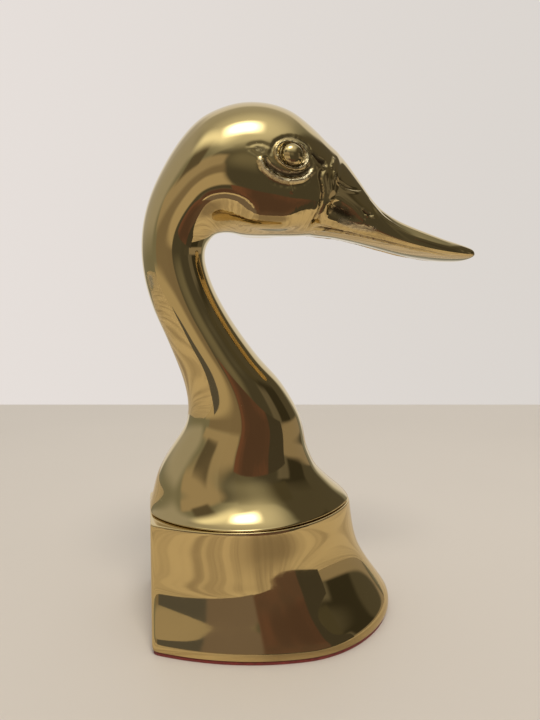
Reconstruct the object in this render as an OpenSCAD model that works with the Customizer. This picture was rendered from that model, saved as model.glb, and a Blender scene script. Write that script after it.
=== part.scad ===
// Duck head bookend: a hollow brass casting of head, neck and shoulder, bolted to a hollow brass base
// with a flat back. The duck looks along +X, the books stand at -X, and Z = 0 is the desk.
// The origin is under the middle of the base's rounded plan.

/* [Base] */
// Height of the base casting, from the felt to the seam under the shoulder
base_h = 39; // [35:0.5:43]
// Distance from the origin to the flat back that the books lean on
back_reach = 39; // [37:0.5:41]
// Distance from the origin to the front of the foot
foot_front = 52; // [48:0.5:56]
// Half of the foot's width
foot_half_w = 42.7; // [40:0.1:48]
// Distance from the origin to the front of the seam
seam_front = 37; // [35:0.5:39]
// Half of the seam's width
seam_half_w = 33.2; // [31:0.1:36]
// Thickness of the base casting's walls
base_wall = 3.5; // [3:0.25:4.5]
// Thickness of the deck that closes the base casting at the top
deck_t = 4; // [3:0.5:5]

/* [Shoulder and neck] */
// Height of the shoulder, from the seam to the root of the neck
shoulder_h = 29.5; // [26:0.5:34]
// Height of the neck, from its root to the throat
neck_h = 64; // [56:1:72]
// Distance from the origin back to the nape, the rearmost point of the neck
nape_reach = 40.5; // [39:0.5:43]
// Half of the neck's width at its root
neck_half_w = 19.5; // [17.5:0.5:21.5]
// Thickness of the walls of the head and neck
neck_wall = 3.5; // [2.5:0.25:4]

/* [Head and bill] */
// Height of the head, from the throat to the crown
head_h = 53; // [49:1:58]
// Length of the head, from the nape to the start of the bill
head_l = 71.5; // [66:0.5:78]
// Half of the head's width
head_half_w = 21.5; // [19:0.5:24]
// Length of the bill
bill_l = 55; // [50:0.5:64]
// Half of the bill's width
bill_half_w = 12.4; // [11:0.2:14]

/* [Eyes] */
// Radius of the eye stud's dome
eye_r = 3.9; // [3.4:0.1:4.4]
// How far the eye stud's dome stands out of its seat
eye_rise = 2.2; // [1.6:0.1:2.8]
// Depth of the seat that the eye stud sits in
eye_seat = 1; // [0.6:0.1:1.4]
// Thickness of the rim round the eye
rim_r = 1; // [0.7:0.1:1.3]
// Radius of the eye stud's shank
eye_shank_r = 1.6; // [1.2:0.1:2]
// Length of the eye stud's shank
eye_shank_l = 5; // [4:0.5:6]

/* [Hardware] */
// Thread radius of the two screws that clamp the head to the base
clamp_r = 2.5; // [2:0.5:3]
// Length of the clamp screws under their heads
clamp_l = 16; // [14:1:18]
// Thread radius of the plate screws
plate_screw_r = 1.75; // [1.5:0.25:2]
// Length of the plate screws with their heads
plate_screw_l = 9; // [8:1:12]
// Thickness of the steel plate that closes the base
plate_t = 2; // [1.5:0.25:2.5]
// Thickness of the felt under the base
felt_t = 1; // [0.8:0.1:2]

/* [Hidden] */

brass = [0.85, 0.68, 0.33];
steel = [0.72, 0.73, 0.75];
felt_red = [0.5, 0.07, 0.09];

segments = 40;      // points round a section of the head and neck
base_segments = 64; // points round a section of the base
core_segments = 20; // points round a section of the neck's hollow
base_core_segments = 32;
smooth_steps = 2;   // rings from one row to the next
overrun = 1;        // how far a cut runs past the face that it opens
fit = 0.15;         // clearance round a seated piece

clamp_head_r = 4.25;
clamp_head_h = 3;
socket_r = 2.2;
washer_r = 5;
washer_t = 1;
boss_r = 6;
boss_h = 16;
clamp_inset = 8;        // from the inner face of the flat back to the rear clamp screw
clamp_front_x = 20;     // from the origin to the front clamp screw
plate_head_r = 3.25;
plate_head_h = 1.6;
slot_w = 0.8;
slot_depth = 0.7;
post_r = 4.5;
tap_depth = 9;
post_inset = 8.5;       // from the inner face of the flat back to the rear posts
post_side = 23.5;       // from the side of the foot in to a rear post
post_front = 15.5;      // from the front of the foot in to the front post
felt_inset = 0.6;       // how far the felt stays inside the foot's outline

seam_z = felt_t + base_h;
deck_z = seam_z - deck_t;
plate_z = felt_t + plate_t;
root_z = seam_z + shoulder_h;
throat_z = root_z + neck_h;
bill_x = head_l - nape_reach;
eye_rim_r = eye_r + 2 * rim_r;
clamp_places = [[clamp_inset + base_wall - back_reach, 0], [clamp_front_x, 0]];
rear_post = [post_inset + base_wall - back_reach, foot_half_w - post_side];
front_post = [foot_front - post_front, 0];
post_places = [rear_post, [rear_post[0], -rear_post[1]], front_post];

// One row of a lofted body: rear x, rear z, front x, front z, half width, widest place, rear and front
// fullness, and how deep the mouth line is cut, as a share of the half width.
// The section stands on the line from the rear point to the front point. The widest place is a share of half
// that line, from its middle. A fullness above 0 squares that end of the section, one below 0 points it.

// Base, from foot to seam: height as a share of base_h, and how much of the flare is left in front and at
// the side, where the cove is straighter.
flare_shares = [
    [0, 1, 1], [0.05, 1, 0.985], [0.095, 0.985, 0.925], [0.14, 0.92, 0.825], [0.22, 0.77, 0.63],
    [0.33, 0.56, 0.375], [0.44, 0.375, 0.19], [0.55, 0.23, 0.105], [0.66, 0.14, 0.045],
    [0.77, 0.08, 0.01], [0.88, 0.04, 0], [1, 0, 0]];
foot_rear_share = 1.58;            // where the foot's round plan would end, as a share of back_reach
seam_rear_share = 1.38;            // the same at the seam
foot_widest_share = 0.25;          // widest place of the foot
seam_widest_share = 0.135;         // widest place of the seam
foot_full_shares = [-0.21, -0.12]; // fullness at the foot's rear and front
seam_full_shares = [-0.36, -0.27]; // fullness at the seam's rear and front

function base_row(s) = let (front = s[1], side = s[2], z = felt_t + s[0] * base_h)
    [-back_reach * (seam_rear_share + (foot_rear_share - seam_rear_share) * side), z,
        seam_front + (foot_front - seam_front) * front, z,
        seam_half_w + (foot_half_w - seam_half_w) * side,
        seam_widest_share + (foot_widest_share - seam_widest_share) * side,
        seam_full_shares[0] + (foot_full_shares[0] - seam_full_shares[0]) * side,
        seam_full_shares[1] + (foot_full_shares[1] - seam_full_shares[1]) * front, 0];

// Shoulder: rear x as a share of back_reach, front x of seam_front, rear and front height of shoulder_h,
// and how far the half width has gone from the seam's to the neck's.
shoulder_shares = [
    [1.04, 0.995, 0, 0, 0.014], [1.015, 0.984, 0.054, 0.054, 0.09], [0.995, 0.949, 0.119, 0.119, 0.225],
    [0.979, 0.886, 0.193, 0.193, 0.36], [0.963, 0.805, 0.271, 0.271, 0.48],
    [0.945, 0.714, 0.356, 0.356, 0.59], [0.918, 0.635, 0.458, 0.458, 0.695],
    [0.862, 0.577, 0.61, 0.6, 0.815], [0.772, 0.527, 0.797, 0.756, 0.92], [0.67, 0.503, 1, 0.925, 1]];
shoulder_widest_share = -0.08;
shoulder_full_shares = [-0.12, -0.27]; // rounder at the rear than the base, whose corners stand out as ledges
function shoulder_row(s) = [-back_reach * s[0], seam_z + shoulder_h * s[2], seam_front * s[1],
    seam_z + shoulder_h * s[3], seam_half_w + (neck_half_w - seam_half_w) * s[4],
    shoulder_widest_share * (1 - s[4]), shoulder_full_shares[0] * (1 - s[4]),
    shoulder_full_shares[1] * (1 - s[4]), 0];

// Neck: rear x as a share of nape_reach, rear height of neck_h, front x, front height, and the half
// width's share.
neck_shares = [
    [-0.612, 0.085, 0.42, 0.06, 0.965], [-0.622, 0.187, 0.338, 0.16, 0.92],
    [-0.668, 0.3, 0.215, 0.275, 0.865], [-0.739, 0.42, 0.05, 0.385, 0.805],
    [-0.824, 0.548, -0.103, 0.51, 0.745], [-0.905, 0.664, -0.243, 0.64, 0.695],
    [-0.966, 0.79, -0.365, 0.78, 0.66], [-0.998, 0.906, -0.434, 0.9, 0.642]];
function neck_row(s) = [nape_reach * s[0], root_z + neck_h * s[1], nape_reach * s[2],
    root_z + neck_h * s[3], neck_half_w * s[4], 0, 0, 0, 0];

// Head: x from the nape as a share of head_l and height over the throat of head_h, for the top and then for
// the underside, the half width's share, the widest place, and the fullness of top and underside.
head_shares = [
    [-0.004, 0.02, 0.311, -0.035, 0.59, 0, 0, 0], [0.006, 0.175, 0.319, 0.025, 0.63, 0, 0, 0],
    [0.039, 0.347, 0.339, 0.075, 0.7, 0, 0, 0], [0.1, 0.529, 0.369, 0.115, 0.79, 0, 0, 0],
    [0.179, 0.707, 0.408, 0.13, 0.885, 0, 0, 0.05], [0.289, 0.872, 0.456, 0.132, 0.96, 0.02, 0, 0.1],
    [0.447, 0.977, 0.519, 0.119, 1, 0.05, 0, 0.12], [0.6, 1.002, 0.594, 0.115, 1, 0.08, 0, 0.14],
    [0.739, 0.964, 0.678, 0.118, 0.965, 0.12, -0.02, 0.15],
    [0.856, 0.868, 0.753, 0.121, 0.905, 0.18, -0.06, 0.15],
    [0.942, 0.772, 0.811, 0.125, 0.85, 0.24, -0.1, 0.15]];
function head_row(s) = [head_l * s[0] - nape_reach, throat_z + head_h * s[1], head_l * s[2] - nape_reach,
    throat_z + head_h * s[3], head_half_w * s[4], s[5], s[6], s[7], 0];

// Bill: the same, with x from the bill's start as a share of bill_l, the half width's share of bill_half_w,
// and the mouth line's depth at the end.
bill_shares = [
    [-0.005, 0.718, -0.19, 0.129, 1.4, 0.28, -0.12, 0.15, 0],
    [0.017, 0.698, -0.172, 0.13, 1.29, 0.3, -0.14, 0.15, 0.04],
    [0.066, 0.648, -0.116, 0.128, 1.21, 0.34, -0.16, 0.17, 0.09],
    [0.15, 0.54, 0.01, 0.118, 1.1, 0.38, -0.16, 0.2, 0.11],
    [0.224, 0.424, 0.124, 0.1, 1.03, 0.36, -0.12, 0.22, 0.11],
    [0.302, 0.332, 0.241, 0.078, 0.98, 0.3, -0.06, 0.22, 0.1],
    [0.402, 0.264, 0.362, 0.053, 0.96, 0.24, 0, 0.22, 0.09],
    [0.515, 0.214, 0.486, 0.027, 0.97, 0.18, 0.05, 0.22, 0.08],
    [0.635, 0.17, 0.61, 0.003, 0.99, 0.12, 0.1, 0.22, 0.07],
    [0.75, 0.128, 0.73, -0.014, 1, 0.06, 0.15, 0.22, 0.05],
    [0.855, 0.09, 0.842, -0.021, 0.98, 0, 0.15, 0.2, 0.03],
    [0.934, 0.058, 0.928, -0.021, 0.87, 0, 0.1, 0.1, 0.01],
    [0.984, 0.034, 0.981, -0.013, 0.64, 0, 0, 0, 0],
    [1.002, 0.018, 1.002, -0.001, 0.35, 0, 0, 0, 0],
    [1.006, 0.009, 1.006, 0.009, 0, 0, 0, 0, 0]];
function bill_row(s) = [bill_l * s[0] + bill_x, throat_z + head_h * s[1], bill_l * s[2] + bill_x,
    throat_z + head_h * s[3], bill_half_w * s[4], s[5], s[6], s[7], s[8]];

base_rows = [for (s = flare_shares) base_row(s)];
shoulder_rows = [for (s = shoulder_shares) shoulder_row(s)];
neck_rows = [for (s = neck_shares) neck_row(s)];
head_rows = [for (s = head_shares) head_row(s)];
bill_rows = [for (s = bill_shares) bill_row(s)];
figure_rows = concat(shoulder_rows, neck_rows, head_rows, bill_rows);

// The hollow of the head ends before the bill, which is solid.
core_head_rows = 8;
core_rows = concat(shoulder_rows, neck_rows, [for (i = [0:core_head_rows - 1]) head_rows[i]]);

// Where the eye sits on the figure: its row, and the angle round its section from the underside.
eye_row_share = 0.6044;
eye_angle = 98.7;

// The mouth line runs along the bill at this angle from its underside, a groove one facet wide each way.
mouth_angle = 63;
mouth_spread = 360 / segments;

// A row between the given ones, on a smooth curve through all of them.
function row_at(rows, place) = let (
    i = min(floor(place), len(rows) - 2),
    t = place - i,
    a = rows[max(i - 1, 0)],
    b = rows[i],
    c = rows[i + 1],
    d = rows[min(i + 2, len(rows) - 1)])
    (2 * b + (c - a) * t + (2 * a - 5 * b + 4 * c - d) * t ^ 2 + (3 * b - a - 3 * c + d) * t ^ 3) / 2;
function smooth_rows(rows) =
    [for (k = [0:smooth_steps * (len(rows) - 1)]) row_at(rows, k / smooth_steps)];

// A row drawn in by a wall's thickness, and a row carried down by a distance.
function inset(row, wall) = let (line = [row[2] - row[0], row[3] - row[1]], step = line * wall / norm(line))
    [row[0] + step[0], row[1] + step[1], row[2] - step[0], row[3] - step[1], row[4] - wall,
        row[5], row[6], row[7], 0];
function lowered(row, drop) = row - [0, drop, 0, drop, 0, 0, 0, 0, 0];

// The point of a row's section at an angle from its front point.
function section_point(row, angle) = let (
    rear = [row[0], 0, row[1]],
    front = [row[2], 0, row[3]],
    full = row[cos(angle) < 0 ? 6 : 7],
    reach = cos(angle) < 0 ? 1 + row[5] : 1 - row[5],
    along = row[5] + reach * cos(angle),
    mouth = row[8] * max(0, 1 - abs(abs(angle) - mouth_angle) / mouth_spread),
    across = sin(angle) * (1 + full * cos(angle) ^ 2) * (1 - mouth))
    (rear + front + (front - rear) * along) / 2 + [0, row[4] * across, 0];
function section(row, count) = [for (i = [0:count - 1]) section_point(row, 360 * i / count - 180)];
function row_middle(row) = [(row[0] + row[2]) / 2, 0, (row[1] + row[3]) / 2];
function is_tip(row) = row[4] <= 0;

// A closed body through rows of sections. A last row without width closes it in a point.
module loft(rows, count) {
    last = len(rows) - 1;
    rings = is_tip(rows[last]) ? last : last + 1;
    points = concat(
        [for (r = [0:rings - 1]) each section(rows[r], count)],
        [row_middle(rows[0]), row_middle(rows[last])]);
    start = rings * count;
    top = (rings - 1) * count;
    faces = concat(
        [for (r = [0:rings - 2], i = [0:count - 1], side = [0, 1])
            let (a = r * count + i, b = r * count + (i + 1) % count, c = a + count, d = b + count)
            side == 0 ? [a, c, d] : [a, d, b]],
        [for (i = [0:count - 1]) [start, i, (i + 1) % count]],
        [for (i = [0:count - 1]) [start + 1, top + (i + 1) % count, top + i]]);
    polyhedron(points = points, faces = faces, convexity = 10);
}

// All the space in front of the flat back, up to a height.
module ahead_of_back(wall, top_z) {
    translate([wall - back_reach, -foot_half_w - overrun, -overrun])
        cube([back_reach - wall + foot_front + overrun, 2 * (foot_half_w + overrun), top_z + overrun]);
}

module at_places(places, z) {
    for (place = places) translate([place[0], place[1], z]) children();
}

// The eye's place on the head, with Z pointing out of the head, on the right side or mirrored to the left.
module at_eye(side) {
    place = eye_row_share * (len(figure_rows) - 1);
    nudge = 0.1;
    point = section_point(row_at(figure_rows, place), -eye_angle);
    forward = section_point(row_at(figure_rows, place + nudge), -eye_angle) - point;
    around = section_point(row_at(figure_rows, place), -eye_angle - nudge) - point;
    out = cross(forward, around);
    tilt = acos(out[2] / norm(out));
    turn = atan2(out[1], out[0]);
    mirror([0, side == "left" ? 1 : 0, 0]) translate(point) rotate([0, tilt, turn]) children();
}

module eye_socket_cut() {
    translate([0, 0, -eye_seat]) cylinder(r = eye_rim_r + fit, h = eye_seat + eye_rise, $fn = 48);
    translate([0, 0, -2 * eye_shank_l]) cylinder(r = eye_shank_r + fit, h = 2 * eye_shank_l, $fn = 32);
}

module head_and_neck() {
    color(brass) difference() {
        loft(smooth_rows(figure_rows), segments);
        difference() {
            loft(concat([inset(lowered(core_rows[0], overrun), neck_wall)],
                [for (row = core_rows) inset(row, neck_wall)]), core_segments);
            at_places(clamp_places, seam_z - 2 * overrun) cylinder(r = boss_r, h = boss_h, $fn = 48);
        }
        translate([-2 * back_reach, -foot_half_w, seam_z - overrun])
            cube([back_reach, 2 * foot_half_w, shoulder_h]);
        at_places(clamp_places, seam_z - overrun)
            cylinder(r = clamp_r + fit, h = clamp_l - deck_t - washer_t + 2 * overrun, $fn = 32);
        at_eye("right") eye_socket_cut();
        at_eye("left") eye_socket_cut();
    }
}

module base_shell() {
    color(brass) difference() {
        intersection() {
            loft(smooth_rows(base_rows), base_segments);
            ahead_of_back(0, seam_z);
        }
        difference() {
            intersection() {
                loft(concat([inset(lowered(base_rows[0], overrun), base_wall)],
                    [for (row = base_rows) inset(row, base_wall)]), base_core_segments);
                ahead_of_back(base_wall, deck_z);
            }
            at_places(post_places, plate_z) cylinder(r = post_r, h = deck_z, $fn = 32);
        }
        at_places(clamp_places, deck_z - overrun)
            cylinder(r = clamp_r + fit, h = deck_t + 2 * overrun, $fn = 32);
        at_places(post_places, plate_z - overrun)
            cylinder(r = plate_screw_r + fit, h = tap_depth + overrun, $fn = 24);
    }
}

// A turned stud: a domed eye inside a rounded rim, on a shank that is pressed into the head.
module eye(side) {
    dome_r = (eye_r ^ 2 + eye_rise ^ 2) / (2 * eye_rise);
    color(brass) at_eye(side) {
        intersection() {
            translate([0, 0, eye_rise - dome_r]) sphere(r = dome_r, $fn = 64);
            translate([0, 0, -eye_seat]) cylinder(r = eye_r, h = eye_seat + eye_rise, $fn = 48);
        }
        translate([0, 0, -eye_seat]) cylinder(r = eye_rim_r, h = eye_seat, $fn = 48);
        rotate_extrude($fn = 48) translate([eye_rim_r - rim_r, 0]) circle(r = rim_r, $fn = 24);
        translate([0, 0, -eye_shank_l]) cylinder(r = eye_shank_r, h = eye_shank_l, $fn = 32);
    }
}

// Two socket-head screws, pushed up through the deck into the bosses of the head casting.
module clamp_screws() {
    color(steel) at_places(clamp_places, deck_z - washer_t) difference() {
        union() {
            cylinder(r = clamp_r, h = clamp_l, $fn = 32);
            translate([0, 0, -clamp_head_h]) cylinder(r = clamp_head_r, h = clamp_head_h, $fn = 32);
        }
        translate([0, 0, -clamp_head_h - overrun])
            cylinder(r = socket_r, h = clamp_head_h / 2 + overrun, $fn = 6);
    }
}

module clamp_washers() {
    color(steel) at_places(clamp_places, deck_z - washer_t) difference() {
        cylinder(r = washer_r, h = washer_t, $fn = 48);
        translate([0, 0, -overrun]) cylinder(r = clamp_r + fit, h = washer_t + 2 * overrun, $fn = 32);
    }
}

// The outline of the foot, drawn in by a distance behind the outer face all round.
module foot_outline(wall) {
    intersection() {
        polygon([for (p = section(inset(base_rows[0], wall), base_segments)) [p[0], p[1]]]);
        translate([wall - back_reach, -foot_half_w]) square([back_reach + foot_front, 2 * foot_half_w]);
    }
}

module bottom_plate() {
    color(steel) difference() {
        translate([0, 0, felt_t]) linear_extrude(height = plate_t) foot_outline(base_wall + 2 * fit);
        at_places(post_places, felt_t - overrun)
            cylinder(r = plate_screw_r + fit, h = plate_t + 2 * overrun, $fn = 24);
        at_places(post_places, felt_t)
            cylinder(r1 = plate_head_r + fit, r2 = plate_screw_r + fit, h = plate_head_h, $fn = 32);
    }
}

module plate_screws() {
    color(steel) at_places(post_places, felt_t) difference() {
        union() {
            cylinder(r = plate_screw_r, h = plate_screw_l, $fn = 24);
            cylinder(r1 = plate_head_r, r2 = plate_screw_r, h = plate_head_h, $fn = 32);
        }
        translate([-plate_head_r, -slot_w / 2, -overrun])
            cube([2 * plate_head_r, slot_w, slot_depth + overrun]);
    }
}

module felt_pad() {
    color(felt_red) linear_extrude(height = felt_t) foot_outline(felt_inset);
}

head_and_neck();
base_shell();
eye("right");  // eye_right
eye("left");  // eye_left
clamp_screws();
clamp_washers();
bottom_plate();
plate_screws();
felt_pad();
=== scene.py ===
import math

import bmesh
import bpy
import numpy as np
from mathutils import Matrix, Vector, noise
from mathutils.bvhtree import BVHTree


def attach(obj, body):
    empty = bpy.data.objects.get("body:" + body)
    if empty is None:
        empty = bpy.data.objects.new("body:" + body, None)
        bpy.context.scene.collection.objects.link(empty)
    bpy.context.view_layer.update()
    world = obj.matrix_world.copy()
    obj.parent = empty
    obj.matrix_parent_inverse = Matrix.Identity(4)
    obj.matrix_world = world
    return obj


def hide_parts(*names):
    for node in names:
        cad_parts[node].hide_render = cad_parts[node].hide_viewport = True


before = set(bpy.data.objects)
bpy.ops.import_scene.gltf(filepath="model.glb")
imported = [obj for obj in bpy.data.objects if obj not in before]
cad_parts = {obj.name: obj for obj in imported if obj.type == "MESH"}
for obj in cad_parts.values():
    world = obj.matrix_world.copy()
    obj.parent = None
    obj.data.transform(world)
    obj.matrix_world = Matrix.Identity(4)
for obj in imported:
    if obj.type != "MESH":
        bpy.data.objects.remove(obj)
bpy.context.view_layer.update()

mm = 0.001
degree = math.pi / 180


# A socket, so that shader maths is written as expressions
class Wire:
    def __init__(self, recipe, socket):
        self.recipe = recipe
        self.socket = socket

    def __add__(self, other):
        return self.recipe.maths("ADD", self, other)

    def __radd__(self, other):
        return self.recipe.maths("ADD", other, self)

    def __sub__(self, other):
        return self.recipe.maths("SUBTRACT", self, other)

    def __rsub__(self, other):
        return self.recipe.maths("SUBTRACT", other, self)

    def __mul__(self, other):
        return self.recipe.maths("MULTIPLY", self, other)

    def __rmul__(self, other):
        return self.recipe.maths("MULTIPLY", other, self)

    def __truediv__(self, other):
        return self.recipe.maths("DIVIDE", self, other)

    def __rtruediv__(self, other):
        return self.recipe.maths("DIVIDE", other, self)

    # 0 below the first value, 1 above the second, smooth between
    def rise(self, low, high):
        return self.recipe.make("ShaderNodeMapRange", {"interpolation_type": "SMOOTHSTEP"}, 0,
                                Value=self, From_Min=low, From_Max=high)


# A node tree that is filled node by node; i0, i1 and so on are inputs by number
class Recipe:
    def __init__(self, tree):
        self.tree = tree
        tree.nodes.clear()

    def make(self, kind, settings=None, output=0, **values):
        node = self.tree.nodes.new(kind)
        for name, value in (settings or {}).items():
            setattr(node, name, value)
        for name, value in values.items():
            key = int(name[1:]) if name[0] == "i" and name[1:].isdigit() else name.replace("_", " ")
            if isinstance(value, Wire):
                self.tree.links.new(value.socket, node.inputs[key])
            else:
                node.inputs[key].default_value = value
        return Wire(self, node.outputs[output]) if node.outputs else None

    def maths(self, operation, *values):
        inputs = {f"i{slot}": value for slot, value in enumerate(values)}
        return self.make("ShaderNodeMath", {"operation": operation}, 0, **inputs)

    def vectorMaths(self, operation, first, second):
        return self.make("ShaderNodeVectorMath", {"operation": operation}, "Value", i0=first, i1=second)

    def blend(self, share, first, second):
        return self.make("ShaderNodeMix", {"data_type": "RGBA"}, 2, i0=share, i6=first, i7=second)

    def speckle(self, place, scale, detail, rough):
        return self.make("ShaderNodeTexNoise", None, 0, Vector=place, Scale=scale, Detail=detail,
                         Roughness=rough)

    def stretched(self, place, sizes, turn=(0, 0, 0)):
        return self.make("ShaderNodeMapping", None, 0, Vector=place, Rotation=turn, Scale=sizes)

    def objectPlace(self):
        return self.make("ShaderNodeTexCoord", None, "Object")

    def bump(self, height):
        return self.make("ShaderNodeBump", None, 0, Height=height, Distance=1 * mm, Strength=1.0)

    def end(self, shader, kind="ShaderNodeOutputMaterial"):
        self.make(kind, Surface=shader)


def newMaterial(name):
    material = bpy.data.materials.new(name)
    material.use_nodes = True
    return material, Recipe(material.node_tree)


def rgba(colour, dim=1):
    return (*(part * dim for part in colour), 1.0)


# The head casting. A section's row is rear x, rear z, front x, front z, half width, widest place, and rear
# and front fullness. The shoulder's shares are rear x, front x, rear z, front z, and how far the width has
# gone from the seam's to the neck's. The neck's are the row's first five, the head's and the bill's the
# whole row. They follow the frame's own, with a fuller cheek and jaw, a creased bill and a blunter tip.
duck = {
    "seam": 40 * mm, "shoulderRise": 29.5 * mm, "neckRise": 64 * mm, "backReach": 39 * mm,
    "seamFront": 37 * mm, "seamHalf": 33.2 * mm, "napeReach": 40.5 * mm, "neckHalf": 19.5 * mm,
    "headRise": 53 * mm, "headLength": 71.5 * mm, "headHalf": 21.5 * mm, "billLength": 55 * mm,
    "billHalf": 12.4 * mm, "edge": 0.7 * mm, "closing": 3 * mm, "backRise": 6 * mm,
    "around": 28, "crowded": 0.5, "levels": 2,
    "steps": [1] * 6 + [2] * 16 + [3, 5, 5, 5, 4, 3, 2, 1, 2, 3, 3, 3] + [2] * 6 + [1, 1],
    "shoulderShares": [
        (1.04, 0.995, 0, 0, 0.014), (1.015, 0.984, 0.043, 0.043, 0.09),
        (0.995, 0.949, 0.098, 0.098, 0.225), (0.979, 0.886, 0.168, 0.168, 0.36),
        (0.963, 0.805, 0.25, 0.25, 0.48), (0.945, 0.714, 0.356, 0.356, 0.59),
        (0.918, 0.635, 0.458, 0.458, 0.695), (0.862, 0.577, 0.61, 0.6, 0.815),
        (0.772, 0.527, 0.797, 0.756, 0.92), (0.67, 0.503, 1, 0.925, 1)],
    "shoulderWidest": -0.08, "shoulderFull": (-0.12, -0.27),
    "neckShares": [
        (-0.612, 0.085, 0.42, 0.06, 0.965), (-0.622, 0.187, 0.338, 0.16, 0.92),
        (-0.668, 0.3, 0.215, 0.275, 0.865), (-0.739, 0.42, 0.05, 0.385, 0.805),
        (-0.824, 0.548, -0.103, 0.51, 0.745), (-0.905, 0.664, -0.243, 0.64, 0.695),
        (-0.966, 0.79, -0.365, 0.78, 0.66), (-0.998, 0.906, -0.434, 0.9, 0.642)],
    "headShares": [
        (-0.004, 0.02, 0.311, -0.035, 0.59, 0, 0, 0), (0.006, 0.175, 0.319, 0.025, 0.63, 0, 0, 0),
        (0.039, 0.347, 0.339, 0.075, 0.7, 0, 0, 0), (0.1, 0.529, 0.369, 0.115, 0.79, 0, 0, 0),
        (0.179, 0.707, 0.408, 0.13, 0.885, 0, 0, 0.1), (0.289, 0.872, 0.456, 0.132, 0.96, 0.02, 0, 0.2),
        (0.447, 0.977, 0.519, 0.119, 1, 0.05, 0, 0.27), (0.6, 1.002, 0.594, 0.115, 1, 0.08, 0, 0.31),
        (0.739, 0.964, 0.678, 0.118, 0.965, 0.12, -0.02, 0.33),
        (0.856, 0.868, 0.753, 0.121, 0.905, 0.18, -0.06, 0.32),
        (0.942, 0.772, 0.811, 0.125, 0.85, 0.24, -0.1, 0.3)],
    "billShares": [
        (-0.005, 0.718, -0.19, 0.129, 1.4, 0.28, -0.12, 0.28),
        (0.017, 0.698, -0.172, 0.13, 1.29, 0.3, -0.14, 0.26),
        (0.066, 0.648, -0.116, 0.128, 1.21, 0.34, -0.16, 0.17),
        (0.15, 0.54, 0.01, 0.118, 1.1, 0.38, -0.16, 0.2), (0.224, 0.424, 0.124, 0.1, 1.03, 0.42, 0, 0.12),
        (0.302, 0.332, 0.241, 0.078, 0.98, 0.5, 0.12, 0.1),
        (0.402, 0.264, 0.362, 0.053, 0.96, 0.58, 0.24, 0.1),
        (0.515, 0.214, 0.486, 0.027, 0.97, 0.62, 0.3, 0.1),
        (0.635, 0.17, 0.61, 0.003, 0.99, 0.62, 0.32, 0.1), (0.75, 0.128, 0.73, -0.014, 1, 0.58, 0.32, 0.1),
        (0.855, 0.098, 0.842, -0.026, 0.98, 0.5, 0.28, 0.1),
        (0.934, 0.075, 0.928, -0.03, 0.92, 0.4, 0.2, 0.1),
        (0.984, 0.06, 0.981, -0.03, 0.8, 0.25, 0.1, 0.1), (1.002, 0.048, 1.002, -0.02, 0.58, 0, 0, 0)],
}
roundedShare = 0.3  # where the middle ring of a rounded edge lies
clearShare = 1.3  # how far above a rounded edge the next ring may come


def duckRows():
    d = duck
    root = d["seam"] + d["shoulderRise"]
    throat = root + d["neckRise"]
    rows = []
    for rearX, frontX, rearZ, frontZ, narrow in d["shoulderShares"]:
        half = d["seamHalf"] + (d["neckHalf"] - d["seamHalf"]) * narrow
        rows.append([-d["backReach"] * rearX, d["seam"] + d["shoulderRise"] * rearZ,
                     d["seamFront"] * frontX, d["seam"] + d["shoulderRise"] * frontZ, half,
                     d["shoulderWidest"] * (1 - narrow),
                     *[full * (1 - narrow) for full in d["shoulderFull"]]])
    for rearX, rearZ, frontX, frontZ, wide in d["neckShares"]:
        rows.append([d["napeReach"] * rearX, root + d["neckRise"] * rearZ,
                     d["napeReach"] * frontX, root + d["neckRise"] * frontZ, d["neckHalf"] * wide, 0, 0, 0])
    for shares, length, half, start in (
            (d["headShares"], d["headLength"], d["headHalf"], -d["napeReach"]),
            (d["billShares"], d["billLength"], d["billHalf"], d["headLength"] - d["napeReach"])):
        for rearX, rearZ, frontX, frontZ, wide, *shape in shares:
            rows.append([length * rearX + start, throat + d["headRise"] * rearZ,
                         length * frontX + start, throat + d["headRise"] * frontZ, half * wide, *shape])
    return np.array(rows, float)


# The base casting: how high a row lies, and how far the front and the sides have flared out to the foot
base = {
    "felt": 1 * mm, "height": 39 * mm, "backReach": 39 * mm, "footFront": 52 * mm, "footHalf": 42.7 * mm,
    "seamFront": 37 * mm, "seamHalf": 33.2 * mm, "levels": 1, "arc": 88, "back": 20, "corner": 0.5 * mm,
    "leastHalf": 10 * mm, "edge": 0.9 * mm, "lip": 0.4 * mm, "footClosing": 8 * mm, "topClosing": 4 * mm,
    "halvings": 40,
    "flareShares": [
        (0, 1, 1), (0.05, 1, 0.985), (0.095, 0.985, 0.925), (0.14, 0.92, 0.825), (0.22, 0.77, 0.63),
        (0.33, 0.56, 0.375), (0.44, 0.375, 0.19), (0.55, 0.23, 0.105), (0.66, 0.14, 0.045),
        (0.77, 0.08, 0.01), (0.88, 0.04, 0), (1, 0, 0)],
    "footRear": 1.58, "seamRear": 1.38, "footWidest": 0.25, "seamWidest": 0.135,
    "footFull": (-0.21, -0.12), "seamFull": (-0.36, -0.27),
}


def between(low, high, share):
    return low + (high - low) * share


def baseRows():
    b = base
    rows = []
    for rise, front, side in b["flareShares"]:
        z = b["felt"] + rise * b["height"]
        rows.append([-b["backReach"] * between(b["seamRear"], b["footRear"], side), z,
                     between(b["seamFront"], b["footFront"], front), z,
                     between(b["seamHalf"], b["footHalf"], side),
                     between(b["seamWidest"], b["footWidest"], side),
                     between(b["seamFull"][0], b["footFull"][0], side),
                     between(b["seamFull"][1], b["footFull"][1], front)])
    return np.array(rows, float)


# A row between the given ones, on a smooth curve through all of them
def rowAt(rows, place):
    first = min(int(place), len(rows) - 2)
    t = place - first
    before, here, after = rows[max(first - 1, 0)], rows[first], rows[first + 1]
    beyond = rows[min(first + 2, len(rows) - 1)]
    curve = 2 * here + (after - before) * t + (2 * before - 5 * here + 4 * after - beyond) * t ** 2
    return (curve + (3 * here - before - 3 * after + beyond) * t ** 3) / 2


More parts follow.
